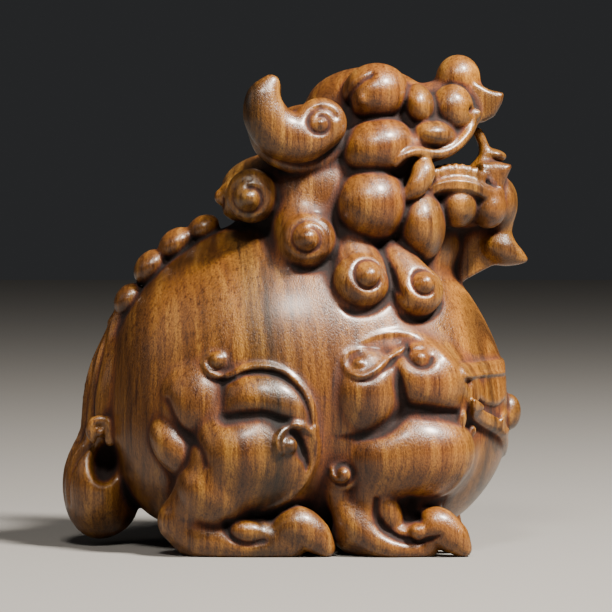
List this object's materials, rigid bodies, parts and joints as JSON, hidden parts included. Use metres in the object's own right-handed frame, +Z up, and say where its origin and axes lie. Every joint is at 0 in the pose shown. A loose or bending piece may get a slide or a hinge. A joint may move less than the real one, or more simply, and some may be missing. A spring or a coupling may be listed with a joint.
{
  "type": "pixiu figure",
  "caption": "Palm-sized carved wooden pixiu, a stout guardian beast squatting on four paws with its jaws open and its tail down its back.",
  "frame": {"origin": "on the ground that the paws stand on, at the middle of the figure's footprint", "axes": "+Z up, +X the way the beast faces, +Y to its left; its two sides mirror each other across the XZ plane"},
  "size_m": [0.076, 0.056, 0.08],
  "materials": {
    "wood": "hand-carved dense golden-brown hardwood, sanded fine and waxed to a satin gloss"
  },
  "bodies": {
    "root": {"carved_figure": "wood"}
  },
  "joints": []
}
